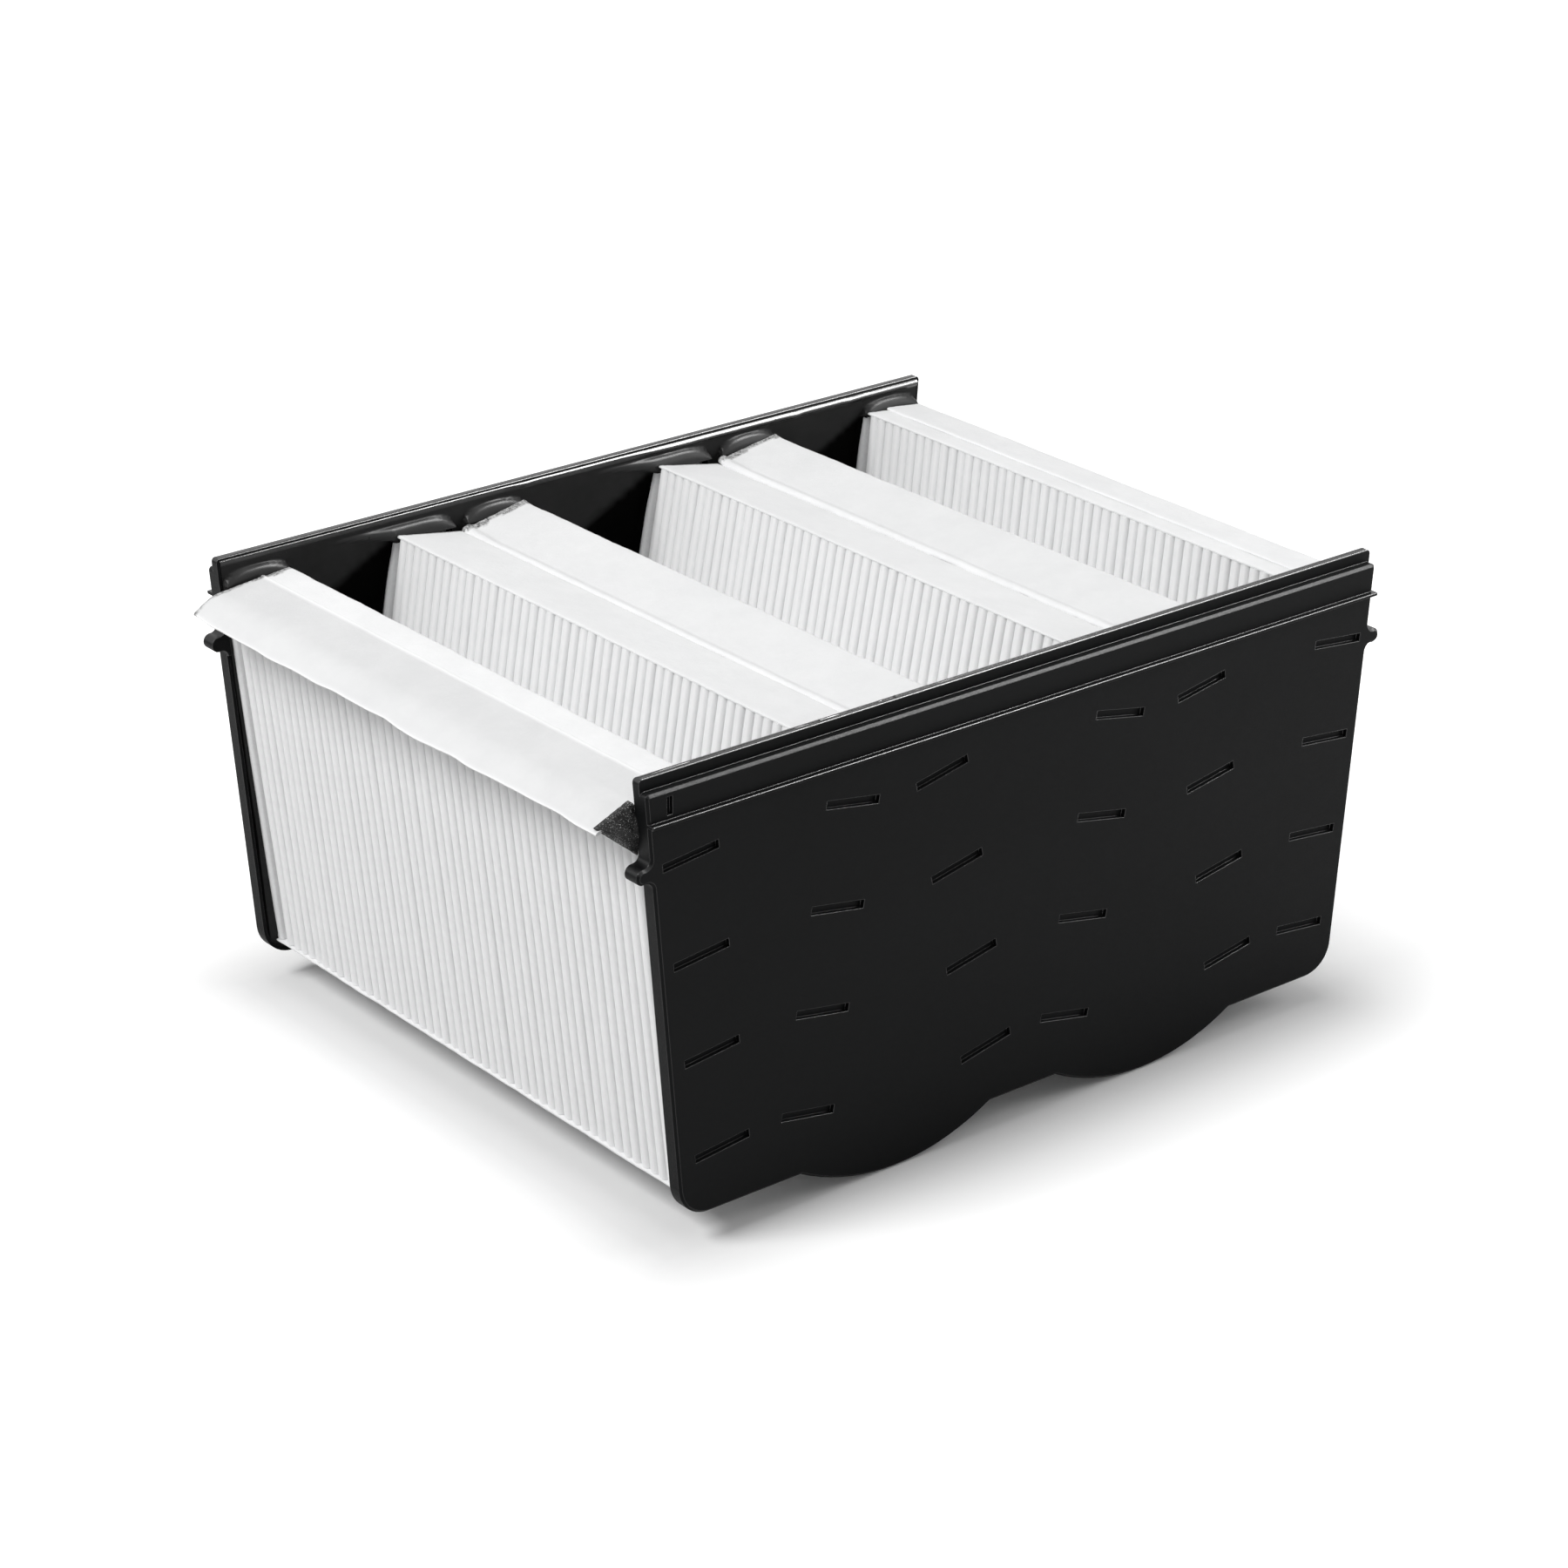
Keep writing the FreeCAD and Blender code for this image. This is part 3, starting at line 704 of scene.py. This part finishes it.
def bottom_strips():
    for number in range(1, 7):
        low, high = strip_edges(number, "bottom")
        node_low, node_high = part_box("bottom_strip_%d" % number)
        if number == 1:
            low -= first_lower_overhang
        piece = strip_piece("lower_strip_%d" % number, panels[number], (low, high),
                            -glue_gap - strip_thickness - 0.1 * mm, strip_thickness,
                            (node_low.y + 0.3 * mm, node_high.y - 0.3 * mm),
                            coarse_felt, columns=20, rows=120)
        dress(piece, "strip", "bottom_strip_%d" % number)


def overlap_strip():
    low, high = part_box("overlap_strip")
    edge = pack_thickness / 2 + overlap_overhang
    piece = strip_piece("second_strip", panels[6], (edge - overlap_width, edge),
                        pack_height + 2 * glue_gap + strip_thickness, strip_thickness,
                        (low.y, high.y), felt)
    dress(piece, "strip", "overlap_strip")


def flap():
    """Strip on pack 1 that leaves its outer edge and hangs over the side."""
    panel = panels[1]
    low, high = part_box("edge_flap")
    rows = 220
    tangent = flap_bend_radius * math.tan(flap_droop / 2)
    straight = flap_lap + flap_bend_out - tangent
    arc = flap_bend_radius * flap_droop
    total = straight + arc + flap_tip_length - tangent
    columns = 44
    travel = total * np.linspace(0, 1, columns) ** 1.15
    turn = np.clip((travel - straight) / flap_bend_radius, 0, flap_droop)
    beyond = np.clip(travel - straight - arc, 0, None)
    out = np.minimum(travel, straight) + flap_bend_radius * np.sin(turn) + beyond * math.cos(flap_droop)
    drop = flap_bend_radius * (1 - np.cos(turn)) + beyond * math.sin(flap_droop)
    free = np.clip((travel - flap_lap) / (total - flap_lap), 0, 1)
    base = pack_height + strip_thickness + 2.5 * glue_gap
    wave = noise_line(rows, 7, 0.9 * mm) + noise_line(rows, 19, 0.25 * mm)
    edge = noise_line(rows, 24, 0.5 * mm)
    swell = noise_field(rows, columns, 26, 4, 0.12 * mm)
    across = -pack_thickness / 2 + flap_lap - out[None, :] - edge[:, None] * free[None, :] ** 3
    y = np.linspace(low.y, high.y, rows)[:, None] + 0 * across
    stiff = np.clip(1 - (y - low.y) / (50 * mm), 0, 1) ** 1.5
    chord = drop[-1] * free
    sag = -drop[None, :] * (1 - stiff) - chord[None, :] * stiff + wave[:, None] * free[None, :] ** 2
    y = y - 1.6 * mm
    normal_across = -np.sin(turn)
    normal_up = np.cos(turn)
    thick = flap_thickness - 0.35 * mm * np.exp(-(total - travel) / (0.3 * mm))
    root = np.exp(-((travel - 0.6 * mm) / (0.7 * mm)) ** 2)
    thick = thick + 0.5 * mm * root
    top = panel.grid(across + normal_across * thick, base + sag + swell + normal_up * thick, y)
    under = panel.grid(across, base + sag + 0.05 * mm, y)
    wet = 2.0 * mm * (1 + noise_field(rows, columns, 3, 12, 0.4))
    soak = np.clip((y - (y.max() - wet)) / soak_fade, 0, 1)
    # Painted highlight along the flap's raised root and its free edge
    rim = np.exp(-(total - travel) / (0.5 * mm))
    pale = np.broadcast_to(np.maximum(root, rim)[None, :], soak.shape)
    piece = ribbon("side_flap", top, under, flap_felt, 60, soak=soak, pale=pale)
    dress(piece, "strip", "edge_flap")


# Sealing compound

def compound_columns(z):
    """X of each grid column at height z, with the kind of span and the distance to a pack."""
    faces = [middle_x - side_x(z) + side_wall + 0.02 * mm]
    for number in range(1, 7):
        faces += [panels[number].face_x(-1, z), panels[number].face_x(1, z)]
    faces.append(middle_x + side_x(z) - side_wall - 0.02 * mm)
    x, in_pack, off = [], [], []
    for index, (left, right) in enumerate(zip(faces, faces[1:])):
        pack = index % 2 == 1
        count = 14 if pack else 16 if 0 < index < 12 else 5
        share = (1 - np.cos(np.linspace(0, 1, count) * math.pi)) / 2
        place = left + (right - left) * share
        x.append(place)
        in_pack += [pack] * count
        near_left = place - left if index > 0 else np.full(count, 1.0)
        near_right = right - place if index < 12 else np.full(count, 1.0)
        off.append(np.minimum(near_left, near_right))
    return np.concatenate(x), np.array(in_pack), np.concatenate(off)


def mound_depth(x, z):
    """How far the compound stands out above the packs' ends: a dome over each strip.

    Beside the left strip of each pair the dome runs out along the lip in a thin wedge.
    """
    depth = np.zeros_like(x)
    for number in range(1, 7):
        panel = panels[number]
        left = panel.face_x(-1, head_z)
        right = panel.face_x(1, head_z)
        reach = (right - left) / 2
        u = (x - (left + right) / 2) / (reach + 0.4 * mm)
        top = head_z + 1.0 * mm + (mound_height + crown_shift[number]) * np.sqrt(
            np.clip(1 - np.abs(u) ** 2.6, 0, 1))
        low = np.full_like(x, head_z)
        out = np.full_like(x, 1.0)
        if number in (2, 4):
            beyond = np.clip((left - x) / wedge_reach, 0, 1)
            beside = x < left + reach
            top = np.where(beside, head_z + 1.0 * mm + mound_height + crown_shift[number], top)
            low = np.where(x < left, head_z + (mound_height + 0.6 * mm) * beyond ** 0.6, low)
            out = np.where(x < left, (1 - beyond) ** 1.4, 1.0)
        share = (z - low) / np.maximum(top - low, 0.05 * mm)
        curve = np.sqrt(1 - np.clip(share, 0, 1) ** 2.2)
        near = (x > left - wedge_reach) if number in (2, 4) else (u > -1)
        stands = (share >= 0) & (share <= 1) & (top - low > 0.1 * mm) & near & (u < 1)
        value = shoulder_depth + (strip_end_depth - shoulder_depth) * curve * out
        depth = np.maximum(depth, np.where(stands, value, 0))
    return depth


def smooth_step(value, low, high):
    share = np.clip((value - low) / (high - low), 0, 1)
    return share * share * (3 - 2 * share)


def film_turn(steps):
    """Shares of the way out and up of the film where it turns over an edge, steady half way."""
    centred = np.linspace(-1, 1, steps)
    angle = np.radians(45 * (1 + centred ** 3))
    out = np.cumsum(np.sin(angle))
    up = np.cumsum(np.cos(angle))
    return (out - out[0]) / (out[-1] - out[0]), (up - up[0]) / (up[-1] - up[0])


def bed_outside_painted_shadow(x, z):
    """1 on the bed's faintly grey skin, 0 in a painted shadow: a deep black wedge to the left of packs
    2, 4 and 6, which shade it.
    """
    haze = np.ones_like(x)
    for number in (2, 4, 6):
        corner_x = panels[number].face_x(-1, head_z)
        before = panels[number - 1].face_x(1, z)
        below = head_z + 2 * mm - z - shadow_slope * (corner_x - x)
        wedge = smooth_step(below, -2.0 * mm, 2.5 * mm)
        inside = (x > before) & (x < corner_x + 2 * mm)
        haze = np.where(inside, np.minimum(haze, 1 - wedge), haze)
    return haze


def compound_piece(name, face_y, inwards, node, edge):
    """Compound poured round the packs' ends, with a concave skin where it climbs them.

    It climbs the lip too. Edge gives, for each x, how far its film stands out below the lip's
    edge, the height where it starts to turn, and how far it turns out and up.
    """
    share = np.concatenate([np.linspace(0, 0.88, 50), np.linspace(0.885, 1.0, 44)])
    columns = len(compound_columns(head_z)[0])
    turn_rows = 14
    rows = len(share) + turn_rows
    upper = np.zeros((rows, columns, 3))
    lower = np.zeros((rows, columns, 3))
    haze = np.ones((rows, columns))
    gloss = np.zeros((rows, columns))
    swell = noise_field(rows, columns, 9, 24, 0.22 * mm)
    fine = noise_field(rows, columns, 40, 150, 0.06 * mm)
    stand, turn_z, turn_out, turn_up = edge(compound_columns(bead_end_z)[0] - middle_x)
    for row in range(len(share)):
        x, in_pack, off = compound_columns(bead_end_z * share[row])
        floor_z = bottom_z(x - middle_x) + side_wall
        z = floor_z + (turn_z - floor_z) * share[row]
        beside = (z > foot_z) & (z < head_z)
        climb_out = smooth_step(z, climb_low_z, climb_high_z)
        depth = bed_depth + (swell[row] + fine[row]) * (1 - climb_out)
        depth = depth + (lip_film_depth - bed_depth) * climb_out
        depth = depth + stand * smooth_step(z, turn_z - 2.2 * mm, turn_z)
        climb = np.where(in_pack, 0, meniscus * np.exp(-off / (1.0 * mm)))
        depth = depth + np.where(beside, climb, 0)
        mound = mound_depth(x, z)
        joined = (depth + mound + np.sqrt((depth - mound) ** 2 + (0.4 * mm) ** 2)) / 2
        depth = np.where((z >= head_z) & (mound > 0), joined, depth)
        depth = np.where(in_pack & beside, seat_depth, depth)
        wall = z > tray_top
        back = np.where(wall, shoulder_depth + 0.01 * mm, boss_depth)
        upper[row] = np.stack([x, face_y + inwards * depth, z], axis=-1)
        lower[row] = np.stack([x, face_y + inwards * back, z], axis=-1)
        # Painted shadow of packs 2, 4 and 6 on the bed
        haze[row] = bed_outside_painted_shadow(x, z)
        on_mound = smooth_step(mound, depth - 1.2 * mm, depth - 0.1 * mm)
        gloss[row] = np.maximum(0.40 * on_mound, smooth_step(z, turn_z - 2 * mm, turn_z - 1 * mm))
    last = upper[len(share) - 1]
    out, up = film_turn(turn_rows + 1)
    for step in range(turn_rows):
        row = len(share) + step
        upper[row] = last
        upper[row, :, 1] -= inwards * out[step + 1] * turn_out
        upper[row, :, 2] += up[step + 1] * turn_up
        lower[row] = upper[row]
        lower[row, :, 1] -= inwards * 0.3 * mm
        lower[row, :, 2] -= 0.5 * mm
        gloss[row] = 1.0
    dress(ribbon(name, upper, lower, compound, 80, haze=haze, gloss=gloss), "compound", node)


def rear_edge(x):
    """A glossy bead below the rear lip's inner edge: full on the right, thin or gone on the left."""
    blob = 0.4 * np.exp(-((x + 32 * mm) / (6 * mm)) ** 2)
    thin = 0.3 * smooth_step(x, -26 * mm, -18 * mm)
    full = 0.75 * smooth_step(x, 12 * mm, 44 * mm)
    knots = 0.3 * np.exp(-((x - 110 * mm) / (3 * mm)) ** 2)
    knots = knots + 0.3 * np.exp(-((x - 141 * mm) / (3 * mm)) ** 2)
    stand = (0.02 + blob + thin + full + knots + np.abs(noise_line(len(x), 34, 0.12))) * mm
    turn = stand + lip_film_depth - bead_end_depth
    return stand, bead_end_z - turn, turn, turn


def front_edge(x):
    """The film runs over the front lip and has bumps on its left half."""
    bumps = np.clip(noise_line(len(x), 46, 0.75) + noise_line(len(x), 110, 0.35), 0, 1)
    reach = smooth_step(x, -178 * mm, -160 * mm) * (1 - smooth_step(x, -60 * mm, -30 * mm))
    raised = (0.05 + 0.8 * reach * bumps) * mm
    still = 0 * x
    return still, still + 189.0 * mm, still + 1.9 * mm, 1.1 * mm + raised


def soaked_corner():
    """Near end of the flap's felt, bent down on the plate's edge and full of compound."""
    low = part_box("edge_flap")[0]
    tip = Vector((low.x + 0.9 * mm, front_face + 10.2 * mm, plate_height - 16.9 * mm))
    rows, columns = 26, 30
    share = np.linspace(0, 1, columns)[None, :]
    down = np.linspace(0, 1, rows)[:, None]
    drop = (10.5 + 20.5 * down) * mm
    edge_x = middle_x - side_x(plate_height - drop) + 0.4 * mm
    x = tip.x + (edge_x - tip.x) * share
    z = tip.z + (plate_height - drop - tip.z) * share
    bulge = 2.8 * mm * np.sin(np.clip(share * 1.5, 0, 1) * math.pi / 2) * np.sin(down * math.pi)
    rough = noise_field(rows, columns, 24, 28, 0.22 * mm) + noise_field(rows, columns, 7, 8, 0.4 * mm)
    y = tip.y - 1.2 * mm * share - bulge + rough * np.minimum(4 * share, 1)
    z = z + noise_field(rows, columns, 12, 14, 0.15 * mm) * share
    front = np.stack(np.broadcast_arrays(x, y, z), axis=-1)
    rear = front.copy()
    rear[:, :, 1] = tip.y + 1.6 * mm
    dress(ribbon("soaked_corner", front, rear, soaked_felt, 70), "compound")


# Stage, light and camera

def shown_rays(tree):
    """1 for the rays that show the backdrop: from the camera, reflections and through glass."""
    path = tree.nodes.new("ShaderNodeLightPath")
    seen = tree.nodes.new("ShaderNodeMath")
    seen.operation = "MAXIMUM"
    tree.links.new(path.outputs["Is Camera Ray"], seen.inputs[0])
    tree.links.new(path.outputs["Is Glossy Ray"], seen.inputs[1])
    shown = tree.nodes.new("ShaderNodeMath")
    tree.links.new(seen.outputs[0], shown.inputs[0])
    tree.links.new(path.outputs["Is Transmission Ray"], shown.inputs[1])
    return shown.outputs[0]


def floor():
    """Pale floor that keeps the shadow and shows whiter away from the object's footprint."""
    mesh = bpy.data.meshes.new("floor")
    reach = floor_reach
    mesh.from_pydata([(-reach, -reach, 0), (reach, -reach, 0), (reach, reach, 0), (-reach, reach, 0)],
                     [], [(0, 1, 2, 3)])
    piece = bpy.data.objects.new("floor", mesh)
    piece.location.z = -floor_drop
    bpy.context.scene.collection.objects.link(piece)
    material = bpy.data.materials.new("floor_white")
    material.use_nodes = True
    tree = material.node_tree
    shader = tree.nodes["Principled BSDF"]
    shader.inputs["Roughness"].default_value = 1.0
    shader.inputs["Specular IOR Level"].default_value = 0.0
    shader.inputs["Emission Color"].default_value = (1, 1, 1, 1)
    shown = shown_rays(tree)
    colour = tree.nodes.new("ShaderNodeMapRange")
    colour.inputs["To Min"].default_value = floor_bounce
    colour.inputs["To Max"].default_value = floor_shown
    tree.links.new(shown, colour.inputs["Value"])
    tree.links.new(colour.outputs["Result"], shader.inputs["Base Color"])
    place = tree.nodes.new("ShaderNodeTexCoord")
    size = tree.nodes.new("ShaderNodeVectorMath")
    size.operation = "ABSOLUTE"
    tree.links.new(place.outputs["Object"], size.inputs[0])
    beyond = tree.nodes.new("ShaderNodeVectorMath")
    beyond.operation = "SUBTRACT"
    beyond.inputs[1].default_value = (*footprint_half, 0)
    tree.links.new(size.outputs["Vector"], beyond.inputs[0])
    outside = tree.nodes.new("ShaderNodeVectorMath")
    outside.operation = "MAXIMUM"
    tree.links.new(beyond.outputs["Vector"], outside.inputs[0])
    radius = tree.nodes.new("ShaderNodeVectorMath")
    radius.operation = "LENGTH"
    tree.links.new(outside.outputs["Vector"], radius.inputs[0])
    share = tree.nodes.new("ShaderNodeMath")
    share.operation = "DIVIDE"
    share.inputs[1].default_value = floor_glow[-1][0]
    tree.links.new(radius.outputs["Value"], share.inputs[0])
    glow = tree.nodes.new("ShaderNodeValToRGB")
    while len(glow.color_ramp.elements) < len(floor_glow):
        glow.color_ramp.elements.new(0.5)
    for element, (distance, strength) in zip(glow.color_ramp.elements, floor_glow):
        element.position = distance / floor_glow[-1][0]
        element.color = (strength, strength, strength, 1)
    tree.links.new(share.outputs["Value"], glow.inputs["Fac"])
    level = tree.nodes.new("ShaderNodeMath")
    level.operation = "MULTIPLY"
    tree.links.new(glow.outputs["Color"], level.inputs[1])
    tree.links.new(shown, level.inputs[0])
    tree.links.new(level.outputs[0], shader.inputs["Emission Strength"])
    mesh.materials.append(material)


def world():
    """White to the camera and to reflections, and a plain dome of light for the rest."""
    scene_world = bpy.data.worlds.new("dome")
    bpy.context.scene.world = scene_world
    scene_world.use_nodes = True
    tree = scene_world.node_tree
    background = tree.nodes["Background"]
    background.inputs["Color"].default_value = (1, 1, 1, 1)
    shown = shown_rays(tree)
    level = tree.nodes.new("ShaderNodeMapRange")
    level.inputs["To Min"].default_value = dome_level
    level.inputs["To Max"].default_value = 1.0
    tree.links.new(shown, level.inputs["Value"])
    tree.links.new(level.outputs["Result"], background.inputs["Strength"])


def area_light(name, direction, distance, size, share, aim=(0.0, 0.0, 0.09)):
    """Area light that gives a surface that faces it this share of full white."""
    light = bpy.data.lights.new(name, "AREA")
    light.shape = "RECTANGLE"
    light.size, light.size_y = size
    light.energy = share * math.pi ** 2 * distance ** 2
    lamp = bpy.data.objects.new(name, light)
    way = Vector(direction).normalized()
    lamp.location = Vector(aim) + way * distance
    lamp.rotation_euler = way.to_track_quat("Z", "Y").to_euler()
    bpy.context.scene.collection.objects.link(lamp)
    return lamp


def lights():
    """Three softboxes, and one that shows only in gloss along the plates' edges."""
    area_light("overhead", (0.0, 0.1, 1.0), distance=1.9, size=(1.1, 1.1), share=0.14)
    area_light("left_softbox", (-0.67, 0.1, 0.74), distance=3.0, size=(1.1, 1.1), share=0.68)
    area_light("right_softbox", (0.78, -0.52, 0.36), distance=0.7, size=(0.3, 0.3), share=0.22)
    shine = area_light("shine_softbox", (0.574, -0.404, 0.711), distance=2.0, size=(0.6, 0.6),
                       share=0.9)
    shine.visible_diffuse = False


def camera():
    data = bpy.data.cameras.new("camera")
    data.lens = camera_lens
    data.sensor_width = camera_sensor
    data.clip_start = 0.01
    view = bpy.data.objects.new("camera", data)
    turn = Matrix.Rotation(camera_azimuth, 4, "Z")
    tilt = Matrix.Rotation(math.pi / 2 - camera_elevation, 4, "X")
    roll = Matrix.Rotation(camera_roll, 4, "Z")
    view.matrix_world = Matrix.Translation(camera_place) @ turn @ tilt @ roll
    bpy.context.scene.collection.objects.link(view)
    bpy.context.scene.camera = view


paint_nodes()
for pack_number in range(1, 7):
    pleat_pack(pack_number)
top_strips()
bottom_strips()
overlap_strip()
flap()
compound_piece("front_compound", front_face, 1, "front_potting", front_edge)
compound_piece("rear_compound", rear_face, -1, "rear_potting", rear_edge)
soaked_corner()
floor()
world()
lights()
camera()
bpy.context.scene.view_settings.view_transform = "Standard"
